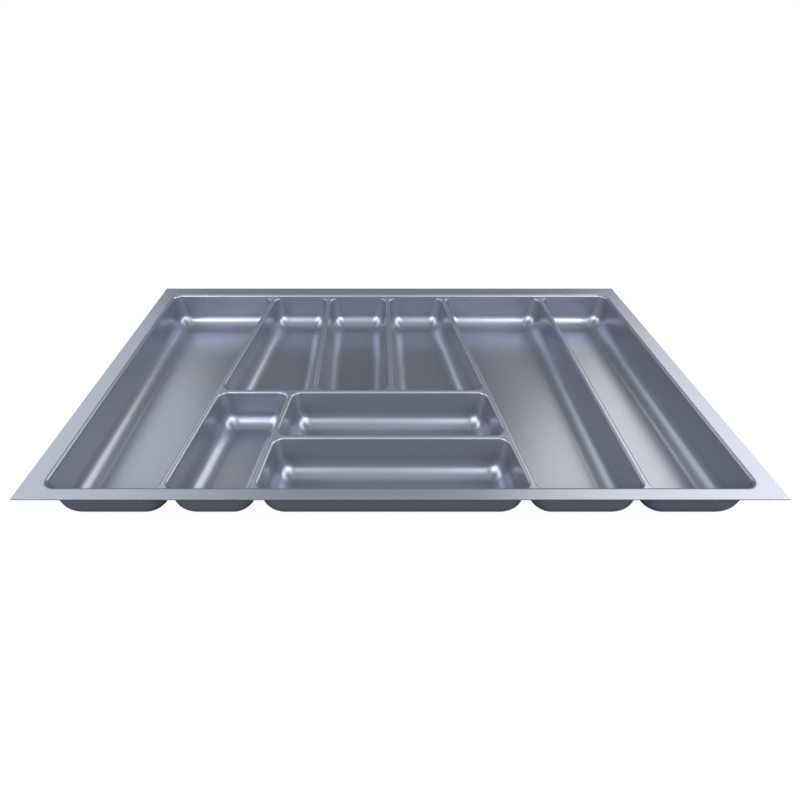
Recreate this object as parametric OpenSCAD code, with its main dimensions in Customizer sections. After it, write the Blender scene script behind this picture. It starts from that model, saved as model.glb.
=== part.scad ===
// Cutlery tray: a drawer insert formed from one plastic sheet, with nine compartments.
// The sheet is built here region by region. The regions meet face to face and never overlap.

/* [Tray] */
// Width of the flange, left to right
outer_width = 820; // [760:1:900]
// Depth of the flange, front to back
outer_depth = 490; // [460:1:560]
// Height from the underside of the floors to the top of the flange
tray_height = 59; // [50:1:80]
// Thickness of the formed sheet
sheet = 1.5; // [1:0.1:2.5]

/* [Flange] */
// From the left edge of the flange to the basin wall
border_left = 25.5; // [18:0.5:60]
// From the right edge of the flange to the basin wall
border_right = 24; // [18:0.5:60]
// From the front edge of the flange to the basin wall
border_front = 17.5; // [12:0.5:50]
// From the back edge of the flange to the basin wall
border_back = 27.5; // [12:0.5:50]
// Radius of the rolled lip between the flange and the basin wall
lip_radius = 4.5; // [3:0.1:5.5]

/* [Dividers] */
// How far the tops of the dividers lie below the flange
divider_drop = 6; // [6:0.5:12]
// Width of the dividers that run front to back
divider_width = 8; // [7.5:0.1:20]
// Width of the dividers that run left to right
cross_width = 6.4; // [6.2:0.1:14]
// Radius of the rounded shoulders on each divider
shoulder_radius = 3; // [2.6:0.1:3]

/* [Compartment walls] */
// Lean of the walls that run front to back, in degrees
side_draft = 4; // [1:0.5:6]
// Lean of the walls that run left to right, in degrees
end_draft = 6; // [1:0.5:8]
// Radius of the upright corners at the top of a compartment
mouth_corner = 12; // [8:0.5:14]
// Radius of the upright corners where the walls meet the floor fillet
lower_corner = 17; // [14:0.5:24]
// Radius of the fillet between the walls and the floor
floor_fillet = 24; // [14:1:28]

/* [Layout] */
// From the left edge of the flange to the axis of the middle lane
middle_axis = 353.5; // [340:0.5:370]
// Width of the middle lane at the front, between divider centres
middle_front = 410; // [380:1:430]
// Width of the middle lane at the back, between divider centres
middle_back = 303; // [285:1:330]
// Distance between the centres of the two straight dividers in the middle lane
inner_pitch = 105; // [90:1:115]
// Width of the small front compartment, between divider centres
small_width = 100; // [80:1:120]
// From the basin's right wall to the centre of the far right divider
far_right_width = 114; // [95:1:120]
// From the basin's front wall to the centre of the back cross divider
cross_back_place = 175; // [165:1:200]
// From the basin's front wall to the centre of the front cross divider
cross_front_place = 85; // [70:1:95]

/* [Hidden] */
// Straight pieces in each rounded corner, floor fillet and shoulder
corner_steps = 5;
fillet_steps = 5;
shoulder_steps = 2;
// Least corner radius, which keeps the points of a floor apart
least_radius = 1;
// Gap that keeps the divider ends off the basin wall
end_gap = 0.05;
// Reach of a divider's piece to each side of its centre, a little past the rounded corners
past_corners = 3;
long_reach = divider_width / 2 + mouth_corner + past_corners;
cross_reach = cross_width / 2 + mouth_corner + past_corners;
// How far the lip laps the flange, so that they are one solid
lip_lap = 1;
// Room that a cutting block has past what it cuts
spare = 20;

flange_color = [0.60, 0.62, 0.68];
divider_color = [0.56, 0.58, 0.65];
basin_color = [0.50, 0.52, 0.60];

// Basin walls at the height of the divider tops, from the middle of the tray
basin_left = -outer_width / 2 + border_left;
basin_right = outer_width / 2 - border_right;
basin_front = -outer_depth / 2 + border_front;
basin_back = outer_depth / 2 - border_back;

// Depths are measured down from the top of the flange
floor_depth = tray_height - sheet;
fillet_depth = floor_depth - floor_fillet;
divider_top = tray_height - divider_drop;

// Centre lines
axis_x = middle_axis - outer_width / 2;
cross_back_y = basin_front + cross_back_place;
cross_front_y = basin_front + cross_front_place;
lane_taper = (middle_front - middle_back) / 2 / (basin_back - basin_front);
function left_x(y) = axis_x - middle_front / 2 + lane_taper * (y - basin_front);
function right_x(y) = axis_x + middle_front / 2 - lane_taper * (y - basin_front);
function small_x(y) = left_x(y) + small_width;
function inner_left_x(y) = axis_x - inner_pitch / 2;
function inner_right_x(y) = axis_x + inner_pitch / 2;
function far_x(y) = basin_right - far_right_width;
function wall_left_x(y) = basin_left;
function wall_right_x(y) = basin_right;

half_long = divider_width / 2;
half_cross = cross_width / 2;

// A compartment is [left line, left gap, right line, right gap, front y, back y, edges].
// The edges say for front, right, back and left if that side has a divider's shoulder.
COMPARTMENTS = [
    ["compartment_left", function(y) wall_left_x(y), 0, function(y) left_x(y), half_long,
        basin_front, basin_back, [0, 1, 0, 0]],
    ["compartment_inner_left", function(y) left_x(y), half_long, function(y) inner_left_x(y), half_long,
        cross_back_y + half_cross, basin_back, [1, 1, 0, 1]],
    ["compartment_inner_middle", function(y) inner_left_x(y), half_long, function(y) inner_right_x(y), half_long,
        cross_back_y + half_cross, basin_back, [1, 1, 0, 1]],
    ["compartment_inner_right", function(y) inner_right_x(y), half_long, function(y) right_x(y), half_long,
        cross_back_y + half_cross, basin_back, [1, 1, 0, 1]],
    ["compartment_small_front", function(y) left_x(y), half_long, function(y) small_x(y), half_long,
        basin_front, cross_back_y - half_cross, [0, 1, 1, 1]],
    ["compartment_wide_middle", function(y) small_x(y), half_long, function(y) right_x(y), half_long,
        cross_front_y + half_cross, cross_back_y - half_cross, [1, 1, 1, 1]],
    ["compartment_wide_front", function(y) small_x(y), half_long, function(y) right_x(y), half_long,
        basin_front, cross_front_y - half_cross, [0, 1, 1, 1]],
    ["compartment_right", function(y) right_x(y), half_long, function(y) far_x(y), half_long,
        basin_front, basin_back, [0, 1, 0, 1]],
    ["compartment_far_right", function(y) far_x(y), half_long, function(y) wall_right_x(y), 0,
        basin_front, basin_back, [0, 0, 0, 1]]
];

// Corners of a compartment's mouth: front left, front right, back right, back left
function mouth_corners(c) = [
    [c[1](c[5]) + c[2], c[5]],
    [c[3](c[5]) - c[4], c[5]],
    [c[3](c[6]) - c[4], c[6]],
    [c[1](c[6]) + c[2], c[6]]
];

// Angle of the outward normal of side i, which runs from corner i to the next one
function normal_angle(corners, i) =
    let (step = corners[(i + 1) % 4] - corners[i]) atan2(-step.x, step.y);

function heading(angle) = [cos(angle), sin(angle)];

// Where two lines meet, each given by its unit normal and its distance from the origin
function meeting(n1, d1, n2, d2) =
    let (det = n1.x * n2.y - n1.y * n2.x)
    [(d1 * n2.y - d2 * n1.y) / det, (d2 * n1.x - d1 * n2.x) / det];

function side_draft_of(i) = i % 2 == 0 ? end_draft : side_draft;

// How far a wall has moved in at a depth: a leaning wall, then the floor fillet.
// The grown surface, for the underside of the sheet, has the same fillet centres.
function inset(depth, draft, grow) =
    let (r = floor_fillet + grow)
    let (centre = (floor_fillet + (fillet_depth - divider_drop) * sin(draft)) / cos(draft))
    depth < fillet_depth + r * sin(draft)
        ? (depth - divider_drop) * tan(draft) - grow / cos(draft)
        : centre - sqrt(max(0, pow(r, 2) - pow(depth - fillet_depth, 2)));

// Radius of the upright corners at a depth: a cone that ends in a ball at the floor
function corner_radius(depth, grow) =
    let (r = floor_fillet + grow)
    let (widening = (lower_corner - mouth_corner) / (fillet_depth - divider_drop))
    let (cone = mouth_corner + grow + widening * (depth - divider_drop))
    let (ball = sqrt(max(0, pow(r, 2) - pow(max(0, depth - fillet_depth), 2))))
    max(least_radius, min(cone, ball));

// One ring of points round a compartment. The flare pushes it out over the dividers only.
function ring(c, depth, z, grow, flare, sink) =
    let (corners = mouth_corners(c), edges = c[7])
    [for (i = [0:3])
        let (a = (i + 3) % 4)
        let (angle_a = normal_angle(corners, a), angle_b = normal_angle(corners, i))
        let (turn = (angle_b - angle_a + 720) % 360)
        let (n_a = heading(angle_a), n_b = heading(angle_b))
        let (r = corner_radius(depth, grow))
        let (centre = meeting(
            n_a, n_a * corners[i] - inset(depth, side_draft_of(a), grow) - r,
            n_b, n_b * corners[i] - inset(depth, side_draft_of(i), grow) - r))
        for (k = [0:corner_steps])
            let (t = turn * k / corner_steps)
            let (push = (edges[a] * sin(turn - t) * n_a + edges[i] * sin(t) * n_b) / sin(turn))
            let (p = centre + r * heading(angle_a + t) + flare * push)
            [p.x, p.y, z - sink * norm(push)]];

// A ring on the floor fillet, at an angle from its top to the floor
function fillet_ring(c, angle, grow) =
    let (depth = fillet_depth + (floor_fillet + grow) * sin(angle))
    ring(c, depth, tray_height - depth, grow, 0, 0);

// A ring on the shoulder, at an angle from the wall to the top of the divider
function shoulder_ring(c, angle, grow) =
    let (depth = divider_drop + shoulder_radius * (1 - sin(angle)))
    ring(c, depth, tray_height - depth, grow,
        (shoulder_radius - grow) * (1 - cos(angle)), grow * sin(angle));

// Closed skin through a pile of rings, with a flat face on the first and on the last
module skin(rings) {
    n = len(rings[0]);
    points = [for (r = rings) for (p = r) p];
    sides = [for (j = [0:len(rings) - 2]) for (i = [0:n - 1])
        let (a = j * n + i, b = j * n + (i + 1) % n)
        each [[a, a + n, b], [b, a + n, b + n]]];
    first = [for (i = [0:n - 1]) i];
    last = [for (i = [n - 1:-1:0]) (len(rings) - 1) * n + i];
    polyhedron(points, concat([first, last], sides), convexity = 6);
}

// A compartment's shell: up the underside, over the edge and down the inside
module compartment(name) {
    c = [for (item = COMPARTMENTS) if (item[0] == name) item][0];
    fillet_angles = [for (k = [0:fillet_steps]) 90 * k / fillet_steps];
    shoulder_angles = [for (k = [0:shoulder_steps]) 90 * k / shoulder_steps];
    last_fillet = len(fillet_angles) - 1;
    last_shoulder = len(shoulder_angles) - 1;
    color(basin_color)
    skin(concat(
        [for (k = [last_fillet:-1:0]) fillet_ring(c, fillet_angles[k], sheet)],
        [for (angle = shoulder_angles) shoulder_ring(c, angle, sheet)],
        [for (k = [last_shoulder:-1:0]) shoulder_ring(c, shoulder_angles[k], 0)],
        [for (angle = fillet_angles) fillet_ring(c, angle, 0)]));
}

function flat(points) = [for (p = points) [p.x, p.y]];

// Outline of the flat top between the shoulders of the dividers
module land_outline() {
    difference() {
        translate([basin_left + end_gap, basin_front + end_gap])
        square([basin_right - basin_left - 2 * end_gap, basin_back - basin_front - 2 * end_gap]);
        for (c = COMPARTMENTS) polygon(flat(shoulder_ring(c, 90, 0)));
    }
}

// Strip to each side of a divider that runs front to back
module long_strip(line, y0, y1) {
    polygon([[line(y0) - long_reach, y0], [line(y0) + long_reach, y0],
        [line(y1) + long_reach, y1], [line(y1) - long_reach, y1]]);
}

// Strip to each side of a divider that runs left to right
module cross_strip(y) {
    translate([basin_left, y - cross_reach])
    square([basin_right - basin_left, 2 * cross_reach]);
}

// Flat top of one divider: the first child is its strip, the others cut it short
module divider_land() {
    color(divider_color)
    translate([0, 0, divider_top - sheet])
    linear_extrude(sheet)
    difference() {
        intersection() {
            land_outline();
            children(0);
        }
        if ($children > 1) children([1:$children - 1]);
    }
}

module left_strip() {
    long_strip(function(y) left_x(y), basin_front, basin_back);
}

module right_strip() {
    long_strip(function(y) right_x(y), basin_front, basin_back);
}

module small_strip() {
    long_strip(function(y) small_x(y), basin_front, cross_back_y);
}

module divider_left() {
    divider_land() left_strip();
}

module divider_right() {
    divider_land() right_strip();
}

module divider_far_right() {
    divider_land() long_strip(function(y) far_x(y), basin_front, basin_back);
}

module divider_cross_back() {
    divider_land() {
        intersection() {
            cross_strip(cross_back_y);
            middle_lane();
        }
        left_strip();
        right_strip();
    }
}

module divider_inner_left() {
    divider_land() {
        long_strip(function(y) inner_left_x(y), cross_back_y, basin_back);
        cross_strip(cross_back_y);
    }
}

module divider_inner_right() {
    divider_land() {
        long_strip(function(y) inner_right_x(y), cross_back_y, basin_back);
        cross_strip(cross_back_y);
    }
}

module divider_small_front() {
    divider_land() {
        small_strip();
        cross_strip(cross_back_y);
    }
}

module divider_cross_front() {
    divider_land() {
        intersection() {
            cross_strip(cross_front_y);
            wide_lane();
        }
        small_strip();
        right_strip();
    }
}

// The middle lane, between the centre lines of the two slanting dividers
module middle_lane() {
    polygon([[left_x(basin_front), basin_front], [right_x(basin_front), basin_front],
        [right_x(basin_back), basin_back], [left_x(basin_back), basin_back]]);
}

// The lane of the two wide compartments, at the front
module wide_lane() {
    polygon([[small_x(basin_front), basin_front], [right_x(basin_front), basin_front],
        [right_x(cross_back_y), cross_back_y], [small_x(cross_back_y), cross_back_y]]);
}

// Section of the lip: the wall's face at zero, the flange towards +X, its top at zero
module lip_section() {
    translate([lip_radius, -lip_radius])
    difference() {
        intersection() {
            circle(r = lip_radius, $fn = 64);
            translate([-lip_radius, 0]) square(lip_radius);
        }
        circle(r = lip_radius - sheet, $fn = 64);
    }
    translate([0, -divider_drop]) square([sheet, divider_drop - lip_radius]);
    translate([lip_radius, -sheet]) square([lip_lap, sheet]);
}

// Straight lip along one basin wall, with its start at the origin and its length along +Y
module lip_bar(length) {
    rotate([90, 0, 180]) mirror([1, 0, 0]) linear_extrude(length) lip_section();
}

// Quarter turn of lip round a basin corner, about the corner's own centre
module lip_corner() {
    rotate_extrude(angle = 90, $fn = 96) translate([mouth_corner, 0]) lip_section();
}

// Flat flange with the opening that the lip starts from
module flange_plate() {
    r = mouth_corner + lip_radius;
    x0 = basin_left - lip_radius;
    x1 = basin_right + lip_radius;
    y0 = basin_front - lip_radius;
    y1 = basin_back + lip_radius;
    translate([0, 0, tray_height - sheet])
    linear_extrude(sheet)
    difference() {
        square([outer_width, outer_depth], center = true);
        translate([x0 + r, y0]) square([x1 - x0 - 2 * r, y1 - y0]);
        translate([x0, y0 + r]) square([x1 - x0, y1 - y0 - 2 * r]);
        for (x = [x0 + r, x1 - r]) for (y = [y0 + r, y1 - r])
            translate([x, y]) circle(r = r, $fn = 96);
    }
}

// One side of the rim, seen with its wall on the left: a bar of lip and two corners
module lip_side(length) {
    r = mouth_corner;
    translate([0, r, 0]) lip_bar(length - 2 * r);
    translate([-r, length - r, 0]) lip_corner();
    translate([-r, r, 0]) rotate(-90) lip_corner();
}

// Each corner of the rim: the basin's corner, the centre of its rounding, the flange's corner
FRONT_LEFT = rim_corner(-1, -1);
FRONT_RIGHT = rim_corner(1, -1);
BACK_RIGHT = rim_corner(1, 1);
BACK_LEFT = rim_corner(-1, 1);
function rim_corner(x, y) =
    let (basin = [x < 0 ? basin_left : basin_right, y < 0 ? basin_front : basin_back])
    [basin, basin - mouth_corner * [x, y], [x * outer_width, y * outer_depth] / 2];

// The rim's side from one corner to the next, mitred at both, with its bar turned to fit
module rim_side(start, end, turn) {
    color(flange_color)
    intersection() {
        union() {
            flange_plate();
            translate([start[0].x, start[0].y, tray_height]) rotate(turn) lip_side(norm(end[0] - start[0]));
        }
        linear_extrude(tray_height + spare) polygon([start[1], end[1], end[2], start[2]]);
    }
}

module rim_front() {
    rim_side(FRONT_LEFT, FRONT_RIGHT, -90);
}

module rim_right() {
    rim_side(FRONT_RIGHT, BACK_RIGHT, 0);
}

module rim_back() {
    rim_side(BACK_RIGHT, BACK_LEFT, 90);
}

module rim_left() {
    rim_side(BACK_LEFT, FRONT_LEFT, 180);
}

rim_front();
rim_right();
rim_back();
rim_left();
divider_left();
divider_right();
divider_far_right();
divider_cross_back();
divider_inner_left();
divider_inner_right();
divider_small_front();
divider_cross_front();
compartment("compartment_left");  // compartment_left
compartment("compartment_inner_left");  // compartment_inner_left
compartment("compartment_inner_middle");  // compartment_inner_middle
compartment("compartment_inner_right");  // compartment_inner_right
compartment("compartment_small_front");  // compartment_small_front
compartment("compartment_wide_middle");  // compartment_wide_middle
compartment("compartment_wide_front");  // compartment_wide_front
compartment("compartment_right");  // compartment_right
compartment("compartment_far_right");  // compartment_far_right
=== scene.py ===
"""Cutlery tray: a drawer insert formed from one satin silver grey plastic sheet.

Each CAD region of the sheet is built again here as a finer skin from the same driving sizes. Its
normals run on into its neighbours', so that the regions read as one smooth moulding.
"""

import math
from collections import namedtuple

import bpy
import numpy as np
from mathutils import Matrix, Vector
from mathutils.geometry import delaunay_2d_cdt


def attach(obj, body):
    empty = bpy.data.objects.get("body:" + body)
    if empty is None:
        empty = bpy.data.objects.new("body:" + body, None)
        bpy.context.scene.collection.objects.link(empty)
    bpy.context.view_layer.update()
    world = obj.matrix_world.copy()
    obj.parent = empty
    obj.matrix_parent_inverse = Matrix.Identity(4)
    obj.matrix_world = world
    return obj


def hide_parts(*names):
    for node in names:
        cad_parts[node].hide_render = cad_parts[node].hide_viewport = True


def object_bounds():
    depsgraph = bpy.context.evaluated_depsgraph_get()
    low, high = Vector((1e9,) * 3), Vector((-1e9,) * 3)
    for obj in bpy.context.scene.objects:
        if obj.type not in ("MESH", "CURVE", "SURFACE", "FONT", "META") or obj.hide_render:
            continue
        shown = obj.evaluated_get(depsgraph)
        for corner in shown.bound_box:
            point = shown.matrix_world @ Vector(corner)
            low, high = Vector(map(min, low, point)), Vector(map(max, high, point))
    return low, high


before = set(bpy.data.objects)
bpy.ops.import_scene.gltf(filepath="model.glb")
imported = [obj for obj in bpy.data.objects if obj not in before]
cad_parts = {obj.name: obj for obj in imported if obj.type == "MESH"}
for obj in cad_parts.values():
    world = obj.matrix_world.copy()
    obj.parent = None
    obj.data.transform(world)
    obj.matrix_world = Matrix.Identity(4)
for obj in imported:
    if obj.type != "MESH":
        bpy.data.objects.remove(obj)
cad_low, cad_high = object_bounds()

# Sheet and flange, in metres
SHEET = 0.0015
BORDER_LEFT = 0.0255
BORDER_RIGHT = 0.024
BORDER_FRONT = 0.0175
BORDER_BACK = 0.0275
LIP_RADIUS = 0.0045
EDGE_BEVEL = 0.0003

# Dividers
DIVIDER_DROP = 0.006
DIVIDER_WIDTH = 0.008
CROSS_WIDTH = 0.0064
SHOULDER_RADIUS = 0.003

# Compartment walls
SIDE_DRAFT = math.radians(4)
END_DRAFT = math.radians(6)
MOUTH_CORNER = 0.012
LOWER_CORNER = 0.017
FLOOR_FILLET = 0.024
CORNER_BLEND = 0.006
LEAST_RADIUS = 0.001

# Layout
MIDDLE_AXIS = 0.3535
MIDDLE_FRONT = 0.410
MIDDLE_BACK = 0.303
INNER_PITCH = 0.105
SMALL_WIDTH = 0.100
FAR_RIGHT_WIDTH = 0.114
CROSS_BACK_PLACE = 0.175
CROSS_FRONT_PLACE = 0.085

# Straight pieces in each rounded form
CORNER_STEPS = 16
FILLET_STEPS = 16
WALL_STEPS = 8
SHOULDER_STEPS = 6
LIP_STEPS = 8

# Part of a shoulder's full flare over which the normals at a well's mouth turn upright
UPRIGHT_FLARE = 0.3

# Least length of a direction, gaps below which points or lines count as one, and the digits kept of
# a station
LEAST_LENGTH = 1e-12
WELD_GAP = 1e-7
LINE_GAP = 1e-6
STATION_GAP = 1e-5
STATION_DIGITS = 7

# Places that follow from the driving sizes and the CAD box
TOP = cad_high.z
BOTTOM = cad_low.z
DIVIDER_TOP = TOP - DIVIDER_DROP
FLOOR_DEPTH = TOP - BOTTOM - SHEET
FILLET_DEPTH = FLOOR_DEPTH - FLOOR_FILLET
BASIN_LEFT = cad_low.x + BORDER_LEFT
BASIN_RIGHT = cad_high.x - BORDER_RIGHT
BASIN_FRONT = cad_low.y + BORDER_FRONT
BASIN_BACK = cad_high.y - BORDER_BACK
AXIS_X = cad_low.x + MIDDLE_AXIS
CROSS_BACK_Y = BASIN_FRONT + CROSS_BACK_PLACE
CROSS_FRONT_Y = BASIN_FRONT + CROSS_FRONT_PLACE
LANE_TAPER = (MIDDLE_FRONT - MIDDLE_BACK) / 2 / (BASIN_BACK - BASIN_FRONT)
HALF_LONG = DIVIDER_WIDTH / 2
HALF_CROSS = CROSS_WIDTH / 2
LONG_REACH = HALF_LONG + MOUTH_CORNER + SHOULDER_RADIUS
CROSS_REACH = HALF_CROSS + MOUTH_CORNER + SHOULDER_RADIUS
UP = np.array([0.0, 0.0, 1.0])

# Plastic: its sheen, and the grain's fineness, tones with their places on the ramp, and bump
PLASTIC_METALLIC = 0.63
PLASTIC_ROUGHNESS = 0.27
PLASTIC_IOR = 1.5
GRAIN_SCALE = 900
GRAIN_DETAIL = 3
GRAIN_TONES = [(0.3, (0.187, 0.203, 0.257, 1)), (0.7, (0.213, 0.23, 0.293, 1))]
GRAIN_BUMP = 0.15
GRAIN_HEIGHT = 0.0002

# Floor: its half width and its gap to the tray, its paleness as the tray and as the camera see it,
# and the distances from the middle between which its shadow fades out into the white background
FLOOR_HALF = 40.0
FLOOR_GAP = 0.0002
FLOOR_ROUGHNESS = 0.9
PALENESS_TO_TRAY = 0.02
PALENESS_TO_CAMERA = 0.8
SHADOW_FADE = (0.45, 1.1)
WHITE_SHARE_NEAR = 0.95

# World: plain light from all round, and a faint horizon behind the tray. The ranges say over which
# rise of a direction it fades out, and over which turn towards the back it comes in.
ROOM_LIGHT = 0.16
HORIZON_LIGHT = 0.1
HORIZON_RISE = (0, 0.28)
HORIZON_BACK = (-0.2, 0.3)

# Soft round patches of light in the world. Azimuth runs from the back towards the right, and the
# angles are in degrees.
Glow = namedtuple("Glow", "azimuth elevation inner outer strength")
GLOWS = [
    Glow(-62, 38, 4, 32, 0.9),
    Glow(64, 38, 4, 32, 1.3),
    Glow(-150, 34, 4, 28, 3.7),
    Glow(150, 38, 4, 28, 3.6),
    Glow(180, 20, 3, 24, 1.0),
    Glow(180, 78, 4, 32, 0.9),
]

# Softboxes: where each one stands, what it faces, its width and height, its power and its colour
CENTRE = (0, 0, 0)
WHITE = (1, 1, 1)
Softbox = namedtuple("Softbox", "name place target size power colour")
SOFTBOXES = [
    Softbox("left_softbox", (-1.7, -0.6, 1.25), CENTRE, (2.5, 0.6), 26, WHITE),
    Softbox("right_softbox", (1.7, -0.45, 1.25), CENTRE, (2.5, 0.6), 28, WHITE),
    Softbox("back_left_softbox", (-1.75, 1.25, 1.6), (-0.3, 0, 0), (2.0, 1.4), 13.5, (1, 0.98, 0.92)),
    Softbox("back_right_softbox", (1.75, 1.25, 1.78), (0.3, 0, 0), (2.0, 1.4), 27, (1, 0.94, 0.82)),
    Softbox("back_top_softbox", (0, 1.2, 2.05), CENTRE, (1.6, 0.6), 2.3, WHITE),
    Softbox("front_left_softbox", (-1.15, -1.74, 1.6), CENTRE, (0.8, 0.18), 10, WHITE),
    Softbox("front_right_softbox", (1.15, -1.74, 1.6), CENTRE, (0.8, 0.18), 10, WHITE),
]

# Camera
CAMERA_PLACE = (-0.0270, -0.6162, 0.4922)
CAMERA_TILT = math.radians(57.5)
CAMERA_LENS = 23.41
CAMERA_SENSOR = 36
CAMERA_SHIFT = (0.0317, -0.0734)


def wall_left_x(y):
    return BASIN_LEFT


def wall_right_x(y):
    return BASIN_RIGHT


def left_x(y):
    return AXIS_X - MIDDLE_FRONT / 2 + LANE_TAPER * (y - BASIN_FRONT)


def right_x(y):
    return AXIS_X + MIDDLE_FRONT / 2 - LANE_TAPER * (y - BASIN_FRONT)


def small_x(y):
    return left_x(y) + SMALL_WIDTH


def inner_left_x(y):
    return AXIS_X - INNER_PITCH / 2


def inner_right_x(y):
    return AXIS_X + INNER_PITCH / 2


def far_x(y):
    return BASIN_RIGHT - FAR_RIGHT_WIDTH


# A well: its left and right lines with the gaps to them, its front and back, and which of its front,
# right, back and left sides have a divider's shoulder
Well = namedtuple("Well", "node left left_gap right right_gap front back shoulders")
WELLS = [
    Well("compartment_left", wall_left_x, 0, left_x, HALF_LONG,
         BASIN_FRONT, BASIN_BACK, (0, 1, 0, 0)),
    Well("compartment_inner_left", left_x, HALF_LONG, inner_left_x, HALF_LONG,
         CROSS_BACK_Y + HALF_CROSS, BASIN_BACK, (1, 1, 0, 1)),
    Well("compartment_inner_middle", inner_left_x, HALF_LONG, inner_right_x, HALF_LONG,
         CROSS_BACK_Y + HALF_CROSS, BASIN_BACK, (1, 1, 0, 1)),
    Well("compartment_inner_right", inner_right_x, HALF_LONG, right_x, HALF_LONG,
         CROSS_BACK_Y + HALF_CROSS, BASIN_BACK, (1, 1, 0, 1)),
    Well("compartment_small_front", left_x, HALF_LONG, small_x, HALF_LONG,
         BASIN_FRONT, CROSS_BACK_Y - HALF_CROSS, (0, 1, 1, 1)),
    Well("compartment_wide_middle", small_x, HALF_LONG, right_x, HALF_LONG,
         CROSS_FRONT_Y + HALF_CROSS, CROSS_BACK_Y - HALF_CROSS, (1, 1, 1, 1)),
    Well("compartment_wide_front", small_x, HALF_LONG, right_x, HALF_LONG,
         BASIN_FRONT, CROSS_FRONT_Y - HALF_CROSS, (0, 1, 1, 1)),
    Well("compartment_right", right_x, HALF_LONG, far_x, HALF_LONG,
         BASIN_FRONT, BASIN_BACK, (0, 1, 0, 1)),
    Well("compartment_far_right", far_x, HALF_LONG, wall_right_x, 0,
         BASIN_FRONT, BASIN_BACK, (0, 0, 0, 1)),
]


def smallest(a, b, blend):
    """The lesser of two numbers, eased where they cross."""
    ease = max(blend - abs(a - b), 0) / blend
    return min(a, b) - ease * ease * blend / 4


def inset(depth, draft, grow):
    """How far a wall has moved in at a depth: a leaning wall, then the floor fillet."""
    radius = FLOOR_FILLET + grow
    if depth < FILLET_DEPTH + radius * math.sin(draft):
        return (depth - DIVIDER_DROP) * math.tan(draft) - grow / math.cos(draft)
    centre = (FLOOR_FILLET + (FILLET_DEPTH - DIVIDER_DROP) * math.sin(draft)) / math.cos(draft)
    return centre - math.sqrt(max(0, radius ** 2 - (depth - FILLET_DEPTH) ** 2))


def corner_radius(depth, grow):
    """Radius of the upright corners at a depth: a cone that eases into the ball at the floor."""
    widening = (LOWER_CORNER - MOUTH_CORNER) / (FILLET_DEPTH - DIVIDER_DROP)
    cone = MOUTH_CORNER + grow + widening * (depth - DIVIDER_DROP)
    ball = math.sqrt(max(0, (FLOOR_FILLET + grow) ** 2 - max(0, depth - FILLET_DEPTH) ** 2))
    return max(LEAST_RADIUS, smallest(cone, ball, CORNER_BLEND))


def heading(angle):
    return np.array([math.cos(angle), math.sin(angle)])


def mouth_corners(well):
    """Corners of a well's mouth: front left, front right, back right, back left."""
    return np.array([
        [well.left(well.front) + well.left_gap, well.front],
        [well.right(well.front) - well.right_gap, well.front],
        [well.right(well.back) - well.right_gap, well.back],
        [well.left(well.back) + well.left_gap, well.back],
    ])


def side_normals(corners):
    """Outward angle of each side, front first."""
    steps = np.roll(corners, -1, axis=0) - corners
    return [math.atan2(-x, y) for x, y in steps]


def ring(well, depth, grow=0.0, flare=0.0, sink=0.0):
    """One ring of points round a well. The flare pushes it out over the dividers only."""
    corners = mouth_corners(well)
    angles = side_normals(corners)
    drafts = [END_DRAFT, SIDE_DRAFT, END_DRAFT, SIDE_DRAFT]
    radius = corner_radius(depth, grow)
    points = []
    for i in range(4):
        a = (i + 3) % 4
        turn = (angles[i] - angles[a]) % (2 * math.pi)
        normals = np.array([heading(angles[a]), heading(angles[i])])
        insets = np.array([inset(depth, drafts[a], grow), inset(depth, drafts[i], grow)])
        centre = np.linalg.solve(normals, normals @ corners[i] - insets - radius)
        for k in range(CORNER_STEPS + 1):
            t = turn * k / CORNER_STEPS
            parts = np.array([well.shoulders[a] * math.sin(turn - t), well.shoulders[i] * math.sin(t)])
            push = parts @ normals / math.sin(turn)
            x, y = centre + radius * heading(angles[a] + t) + flare * push
            points.append((x, y, TOP - depth - sink * np.linalg.norm(push)))
    return np.array(points)


def fillet_ring(well, angle, grow):
    """A ring on the floor fillet, at an angle from its top to the floor."""
    return ring(well, FILLET_DEPTH + (FLOOR_FILLET + grow) * math.sin(angle), grow)


def shoulder_ring(well, angle, grow):
    """A ring on the shoulder, at an angle from the wall to the top of the divider."""
    depth = DIVIDER_DROP + SHOULDER_RADIUS * (1 - math.sin(angle))
    flare = (SHOULDER_RADIUS - grow) * (1 - math.cos(angle))
    return ring(well, depth, grow, flare, grow * math.sin(angle))


def well_side(well, grow):
    """Rings from the divider's top down to the floor, on the inside or on the underside."""
    quarter = math.pi / 2
    rings = [shoulder_ring(well, quarter * (1 - k / SHOULDER_STEPS), grow)
             for k in range(SHOULDER_STEPS + 1)]
    wall_top = DIVIDER_DROP + SHOULDER_RADIUS
    rings += [ring(well, wall_top + (FILLET_DEPTH - wall_top) * k / WALL_STEPS, grow)
              for k in range(1, WALL_STEPS)]
    rings += [fillet_ring(well, quarter * k / FILLET_STEPS, grow) for k in range(FILLET_STEPS + 1)]
    return np.array(rings)


def unit(v):
    return v / np.maximum(np.linalg.norm(v, axis=-1, keepdims=True), LEAST_LENGTH)


def grid_normals(rings):
    """Normals over a pile of rings, weighted by area, that point into the well."""
    down = rings[1:]
    up = rings[:-1]
    across = np.cross(np.roll(down, -1, axis=1) - up, down - np.roll(up, -1, axis=1))
    total = np.zeros_like(rings)
    for faces in (across, np.roll(across, 1, axis=1)):
        total[:-1] += faces
        total[1:] += faces
    inward = unit(total)
    middle = rings[:, :, :2].mean(axis=1, keepdims=True)
    if np.sum((middle - rings[:, :, :2]) * inward[:, :, :2]) < 0:
        inward = -inward
    return inward


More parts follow.
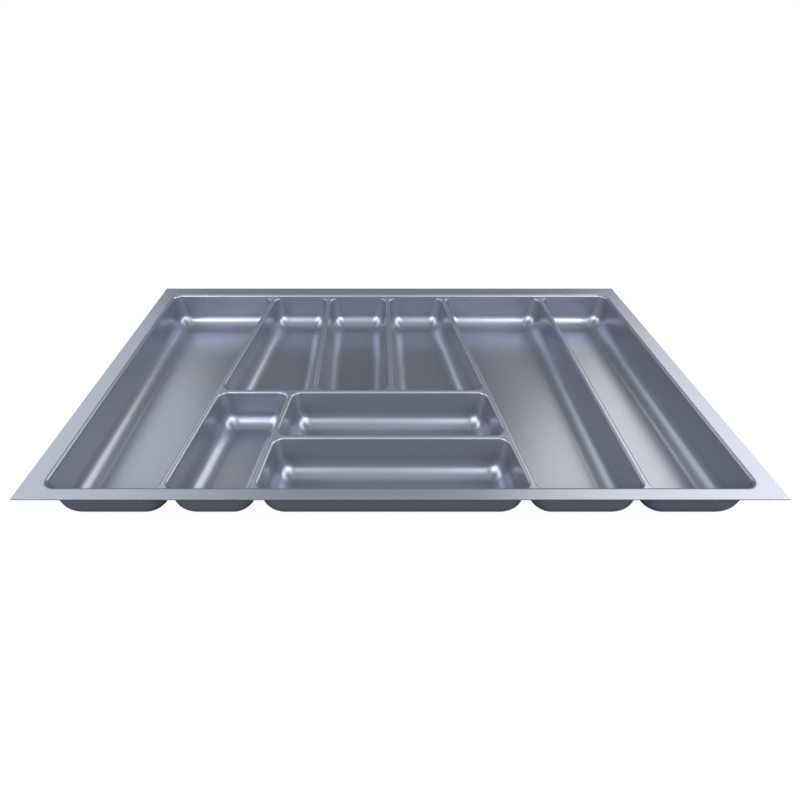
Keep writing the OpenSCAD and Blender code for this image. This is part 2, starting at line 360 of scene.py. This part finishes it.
def shoulder_shares(well):
    """How far each point of a ring is pushed out over the dividers, from 0 to 1."""
    moved = ring(well, DIVIDER_DROP, 0, SHOULDER_RADIUS) - ring(well, DIVIDER_DROP)
    return np.linalg.norm(moved, axis=1) / SHOULDER_RADIUS


def well_normals(well, rings):
    """Normals of one side of a well. They are upright at the dividers' tops and at the floor."""
    normals = grid_normals(rings)
    flat = normals[0] * [1, 1, 0]
    share = np.clip(shoulder_shares(well) / UPRIGHT_FLARE, 0, 1)[:, None]
    normals[0] = unit(share * UP + (1 - share) * unit(flat))
    normals[-1] = UP
    return normals


def pile_faces(rows, size):
    """Faces of a pile of closed rings: the bands between its rows, then a cap at each end."""
    faces = []
    for j in range(rows - 1):
        for i in range(size):
            here, after = j * size + i, j * size + (i + 1) % size
            faces.append((here, after, after + size, here + size))
    faces.append(tuple(range(size - 1, -1, -1)))
    faces.append(tuple(range((rows - 1) * size, rows * size)))
    return faces


def build_well(well):
    """Closed shell of one compartment: inside, underside and the edge between them."""
    inside = well_side(well, 0)
    below = well_side(well, SHEET)
    rows, size = inside.shape[:2]
    normals = np.concatenate([-well_normals(well, below)[::-1], well_normals(well, inside)])
    points = np.concatenate([below[::-1], inside])
    return points.reshape(-1, 3), pile_faces(2 * rows, size), normals.reshape(-1, 3)


def wall_stations(along, place):
    """Where the wells' corners leave a basin wall that runs along x, 0, or y, 1."""
    found = []
    for well in WELLS:
        points = ring(well, DIVIDER_DROP)
        on_wall = np.abs(points[:, 1 - along] - place) < LINE_GAP
        found += list(points[on_wall][:, along])
    return sorted(set(np.round(found, STATION_DIGITS)))


# A rim's side: its node, whether it runs along x, 0, or y, 1, its outward angle, and the signs of its
# start and end corners
RimSide = namedtuple("RimSide", "node along angle start end")
RIM_SIDES = [
    RimSide("rim_front", 0, -math.pi / 2, (-1, -1), (1, -1)),
    RimSide("rim_right", 1, 0.0, (1, -1), (1, 1)),
    RimSide("rim_back", 0, math.pi / 2, (1, 1), (-1, 1)),
    RimSide("rim_left", 1, math.pi, (-1, 1), (-1, -1)),
]


def rim_corner(signs):
    """Centre of a basin corner's rounding, and the flange's own corner."""
    x = BASIN_LEFT if signs[0] < 0 else BASIN_RIGHT
    y = BASIN_FRONT if signs[1] < 0 else BASIN_BACK
    outer_x = cad_low.x if signs[0] < 0 else cad_high.x
    outer_y = cad_low.y if signs[1] < 0 else cad_high.y
    centre = np.array([x - signs[0] * MOUTH_CORNER, y - signs[1] * MOUTH_CORNER])
    return centre, np.array([outer_x, outer_y])


def rim_section():
    """Section of lip and flange: how far out, how high, and the normal's outward and upward parts.
    The last value says if the point lies on the flange's outer edge, measured from there."""
    section = [(0, DIVIDER_TOP, -1, 0, False)]
    centre_z = TOP - LIP_RADIUS
    for k in range(LIP_STEPS + 1):
        a = math.pi / 2 * k / LIP_STEPS
        section.append((LIP_RADIUS * (1 - math.cos(a)), centre_z + LIP_RADIUS * math.sin(a),
                        -math.cos(a), math.sin(a), False))
    section += [
        (-EDGE_BEVEL, TOP, 0, 1, True),
        (0, TOP - EDGE_BEVEL, 1, 0, True),
        (0, TOP - SHEET + EDGE_BEVEL, 1, 0, True),
        (-EDGE_BEVEL, TOP - SHEET, 0, -1, True),
    ]
    inner = LIP_RADIUS - SHEET
    for k in range(LIP_STEPS, -1, -1):
        a = math.pi / 2 * k / LIP_STEPS
        section.append((LIP_RADIUS - inner * math.cos(a), centre_z + inner * math.sin(a),
                        math.cos(a), -math.sin(a), False))
    section.append((SHEET, DIVIDER_TOP, 1, 0, False))
    return section


def corner_station(side, signs, turning, share):
    """Station on a basin corner, from the mitre at share 0 to the straight wall at share 1."""
    centre, outer = rim_corner(signs)
    turn = heading(side.angle + turning * math.pi / 4 * (1 - share))
    outer[side.along] += share * (centre[side.along] - outer[side.along])
    edge_out = np.array(signs) if share == 0 else heading(side.angle)
    return centre + MOUTH_CORNER * turn, turn, outer, edge_out


def rim_stations(side):
    """Stations along a rim's side: a point on the basin wall's line and its outward direction, then
    the point of the flange's edge that it is joined to and the outward direction there."""
    out = heading(side.angle)
    along = side.along
    start, flange_corner = rim_corner(side.start)
    end, _ = rim_corner(side.end)
    place = (start + MOUTH_CORNER * out)[1 - along]
    nearest, farthest = sorted((start[along], end[along]))
    straight = [s for s in wall_stations(along, place)
                if nearest + STATION_GAP < s < farthest - STATION_GAP]
    if start[along] > end[along]:
        straight.reverse()
    half = CORNER_STEPS // 2
    stations = [corner_station(side, side.start, -1, k / half) for k in range(half + 1)]
    for s in straight:
        point, outer = np.zeros(2), np.zeros(2)
        point[along], point[1 - along] = s, place
        outer[along], outer[1 - along] = s, flange_corner[1 - along]
        stations.append((point, out, outer, out))
    stations += [corner_station(side, side.end, 1, 1 - k / half) for k in range(half + 1)]
    return stations


def build_rim(side):
    """Closed bar of one side of the rim, mitred at its corners."""
    section = rim_section()
    stations = rim_stations(side)
    out = heading(side.angle)
    points, normals = [], []
    for base, turn, outer, edge_out in stations:
        for away, z, n_out, n_up, on_edge in section:
            spot = outer + away * edge_out if on_edge else base + away * turn
            facing = out if on_edge else turn
            points.append((spot[0], spot[1], z))
            normals.append((n_out * facing[0], n_out * facing[1], n_up))
    return np.array(points), pile_faces(len(stations), len(section)), np.array(normals)


def inside_outline(point, outline):
    """Whether a point lies in a convex outline that runs anticlockwise."""
    step = np.roll(outline, -1, axis=0) - outline
    gap = point - outline
    return bool(np.all(step[:, 0] * gap[:, 1] - step[:, 1] * gap[:, 0] > 0))


def divider_of(x, y):
    """The divider whose flat top holds a point."""
    if abs(x - left_x(y)) < LONG_REACH:
        return "divider_left"
    if abs(x - right_x(y)) < LONG_REACH:
        return "divider_right"
    if abs(x - far_x(y)) < LONG_REACH:
        return "divider_far_right"
    if abs(y - CROSS_BACK_Y) < CROSS_REACH:
        return "divider_cross_back"
    if y > CROSS_BACK_Y:
        return "divider_inner_left" if x < AXIS_X else "divider_inner_right"
    if abs(x - small_x(y)) < LONG_REACH:
        return "divider_small_front"
    return "divider_cross_front"


def divider_triangles():
    """Flat tops of the dividers as triangles between the wells' mouths, by node."""
    outlines = [shoulder_ring(well, math.pi / 2, 0)[:, :2] for well in WELLS]
    flat, edges = [], []
    for outline in outlines:
        first = len(flat)
        flat += [Vector(p) for p in outline]
        edges += [(first + i, first + (i + 1) % len(outline)) for i in range(len(outline))]
    points, _, triangles, *_ = delaunay_2d_cdt(flat, edges, [], 0, WELD_GAP)
    points = np.array(points)
    found = {}
    for triangle in triangles:
        middle = points[list(triangle)].mean(axis=0)
        if not any(inside_outline(middle, outline) for outline in outlines):
            found.setdefault(divider_of(*middle), []).append(triangle)
    return points, found


def build_land(points, triangles):
    """Flat top of one divider, as thick as the sheet."""
    used = sorted({i for triangle in triangles for i in triangle})
    place = {old: new for new, old in enumerate(used)}
    count = len(used)
    flat = points[used]
    faces, open_edges = [], set()
    for triangle in triangles:
        a, b, c = (place[i] for i in triangle)
        faces += [(a, b, c), (count + c, count + b, count + a)]
        for edge in ((a, b), (b, c), (c, a)):
            if edge[::-1] in open_edges:
                open_edges.discard(edge[::-1])
            else:
                open_edges.add(edge)
    faces += [(b, a, count + a, count + b) for a, b in sorted(open_edges)]
    top = np.column_stack([flat, np.full(count, DIVIDER_TOP)])
    bottom = np.column_stack([flat, np.full(count, DIVIDER_TOP - SHEET)])
    normals = np.concatenate([np.tile(UP, (count, 1)), np.tile(-UP, (count, 1))])
    return np.concatenate([top, bottom]), faces, normals


def add_piece(node, built, material):
    """Makes the finer skin that stands for a CAD node."""
    points, faces, normals = built
    mesh = bpy.data.meshes.new(node + "_skin")
    mesh.from_pydata(points.tolist(), [], faces)
    mesh.materials.append(material)
    mesh.shade_smooth()
    mesh.normals_split_custom_set_from_vertices(normals.tolist())
    piece = bpy.data.objects.new(node + "_skin", mesh)
    bpy.context.scene.collection.objects.link(piece)
    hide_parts(node)
    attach(piece, "root")


def map_range(tree, value, source, result, smooth=False):
    """Adds a node that carries a value from one range to another. Returns its output."""
    node = tree.nodes.new("ShaderNodeMapRange")
    if smooth:
        node.interpolation_type = "SMOOTHSTEP"
    node.inputs["From Min"].default_value, node.inputs["From Max"].default_value = source
    node.inputs["To Min"].default_value, node.inputs["To Max"].default_value = result
    tree.links.new(value, node.inputs["Value"])
    return node.outputs["Result"]


def calculate(tree, operation, *values):
    """Adds a math node that takes sockets and plain numbers. Returns its output."""
    node = tree.nodes.new("ShaderNodeMath")
    node.operation = operation
    for socket, value in zip(node.inputs, values):
        if isinstance(value, bpy.types.NodeSocket):
            tree.links.new(value, socket)
        else:
            socket.default_value = value
    return node.outputs[0]


def tray_plastic():
    """Satin silver grey plastic with a fine grain."""
    material = bpy.data.materials.new("tray_plastic")
    material.use_nodes = True
    nodes, links = material.node_tree.nodes, material.node_tree.links
    shader = nodes["Principled BSDF"]
    shader.inputs["Metallic"].default_value = PLASTIC_METALLIC
    shader.inputs["Roughness"].default_value = PLASTIC_ROUGHNESS
    shader.inputs["IOR"].default_value = PLASTIC_IOR

    place = nodes.new("ShaderNodeTexCoord")
    grain = nodes.new("ShaderNodeTexNoise")
    grain.inputs["Scale"].default_value = GRAIN_SCALE
    grain.inputs["Detail"].default_value = GRAIN_DETAIL
    links.new(place.outputs["Object"], grain.inputs["Vector"])

    tone = nodes.new("ShaderNodeValToRGB")
    for element, (position, colour) in zip(tone.color_ramp.elements, GRAIN_TONES):
        element.position = position
        element.color = colour
    links.new(grain.outputs["Fac"], tone.inputs["Fac"])
    links.new(tone.outputs["Color"], shader.inputs["Base Color"])

    bump = nodes.new("ShaderNodeBump")
    bump.inputs["Strength"].default_value = GRAIN_BUMP
    bump.inputs["Distance"].default_value = GRAIN_HEIGHT
    links.new(grain.outputs["Fac"], bump.inputs["Height"])
    links.new(bump.outputs["Normal"], shader.inputs["Normal"])
    return material


def floor_material():
    """Dark floor for the tray, and for the camera a pale one that keeps a soft shadow and goes to
    white farther out."""
    material = bpy.data.materials.new("pale_floor")
    material.use_nodes = True
    tree = material.node_tree
    nodes, links = tree.nodes, tree.links
    for_camera = nodes.new("ShaderNodeLightPath").outputs["Is Camera Ray"]
    shader = nodes["Principled BSDF"]
    shader.inputs["Roughness"].default_value = FLOOR_ROUGHNESS
    paleness = map_range(tree, for_camera, (0, 1), (PALENESS_TO_TRAY, PALENESS_TO_CAMERA))
    links.new(paleness, shader.inputs["Base Color"])

    place = nodes.new("ShaderNodeTexCoord")
    distance = nodes.new("ShaderNodeVectorMath")
    distance.operation = "LENGTH"
    links.new(place.outputs["Object"], distance.inputs[0])
    white_share = map_range(tree, distance.outputs["Value"], SHADOW_FADE, (WHITE_SHARE_NEAR, 1))

    white = nodes.new("ShaderNodeEmission")
    white.inputs["Strength"].default_value = 1.0
    mix = nodes.new("ShaderNodeMixShader")
    links.new(calculate(tree, "MULTIPLY", for_camera, white_share), mix.inputs["Fac"])
    links.new(shader.outputs["BSDF"], mix.inputs[1])
    links.new(white.outputs["Emission"], mix.inputs[2])
    links.new(mix.outputs["Shader"], nodes["Material Output"].inputs["Surface"])
    return material


def add_floor():
    mesh = bpy.data.meshes.new("floor")
    z = BOTTOM - FLOOR_GAP
    corners = [(x * FLOOR_HALF, y * FLOOR_HALF, z) for x, y in ((-1, -1), (1, -1), (1, 1), (-1, 1))]
    mesh.from_pydata(corners, [], [(0, 1, 2, 3)])
    mesh.materials.append(floor_material())
    floor = bpy.data.objects.new("floor", mesh)
    bpy.context.scene.collection.objects.link(floor)


def add_glow(tree, direction, glow):
    """A soft round patch of light in the world, from a full middle out to nothing."""
    side, rise = math.radians(glow.azimuth), math.radians(glow.elevation)
    level = math.cos(rise)
    aim = tree.nodes.new("ShaderNodeVectorMath")
    aim.operation = "DOT_PRODUCT"
    aim.inputs[1].default_value = (math.sin(side) * level, math.cos(side) * level, math.sin(rise))
    tree.links.new(direction, aim.inputs[0])
    edges = math.cos(math.radians(glow.outer)), math.cos(math.radians(glow.inner))
    return map_range(tree, aim.outputs["Value"], edges, (0, glow.strength), smooth=True)


def add_world():
    """Plain room light, a faint horizon and soft glows for the tray, and white for the camera."""
    world = bpy.data.worlds.new("studio")
    bpy.context.scene.world = world
    world.use_nodes = True
    tree = world.node_tree
    nodes, links = tree.nodes, tree.links
    direction = nodes.new("ShaderNodeTexCoord").outputs["Generated"]
    parts = nodes.new("ShaderNodeSeparateXYZ")
    links.new(direction, parts.inputs[0])
    horizon = map_range(tree, parts.outputs["Z"], HORIZON_RISE, (HORIZON_LIGHT, 0), smooth=True)
    behind = map_range(tree, parts.outputs["Y"], HORIZON_BACK, (0, 1))
    light = calculate(tree, "MULTIPLY_ADD", horizon, behind, ROOM_LIGHT)
    for glow in GLOWS:
        light = calculate(tree, "ADD", light, add_glow(tree, direction, glow))

    path = nodes.new("ShaderNodeLightPath")
    mix = nodes.new("ShaderNodeMix")
    mix.data_type = "RGBA"
    links.new(path.outputs["Is Camera Ray"], mix.inputs["Factor"])
    links.new(light, mix.inputs["A"])
    mix.inputs["B"].default_value = (*WHITE, 1)
    background = nodes["Background"]
    background.inputs["Strength"].default_value = 1.0
    links.new(mix.outputs["Result"], background.inputs["Color"])


def add_softbox(box):
    lamp = bpy.data.lights.new(box.name, "AREA")
    lamp.shape = "RECTANGLE"
    lamp.size, lamp.size_y = box.size
    lamp.energy = box.power
    lamp.color = box.colour
    stand = bpy.data.objects.new(box.name, lamp)
    stand.location = box.place
    aim = Vector(box.target) - Vector(box.place)
    stand.rotation_euler = aim.to_track_quat("-Z", "Y").to_euler()
    bpy.context.scene.collection.objects.link(stand)


def add_camera():
    data = bpy.data.cameras.new("camera")
    data.sensor_width = CAMERA_SENSOR
    data.lens = CAMERA_LENS
    data.shift_x, data.shift_y = CAMERA_SHIFT
    camera = bpy.data.objects.new("camera", data)
    camera.location = CAMERA_PLACE
    camera.rotation_euler = (CAMERA_TILT, 0, 0)
    bpy.context.scene.collection.objects.link(camera)
    bpy.context.scene.camera = camera


plastic = tray_plastic()
for side in RIM_SIDES:
    add_piece(side.node, build_rim(side), plastic)
for well in WELLS:
    add_piece(well.node, build_well(well), plastic)
flat_points, by_divider = divider_triangles()
for node, triangles in sorted(by_divider.items()):
    add_piece(node, build_land(flat_points, triangles), plastic)

add_floor()
add_world()
for box in SOFTBOXES:
    add_softbox(box)
add_camera()
bpy.context.scene.view_settings.view_transform = "Standard"
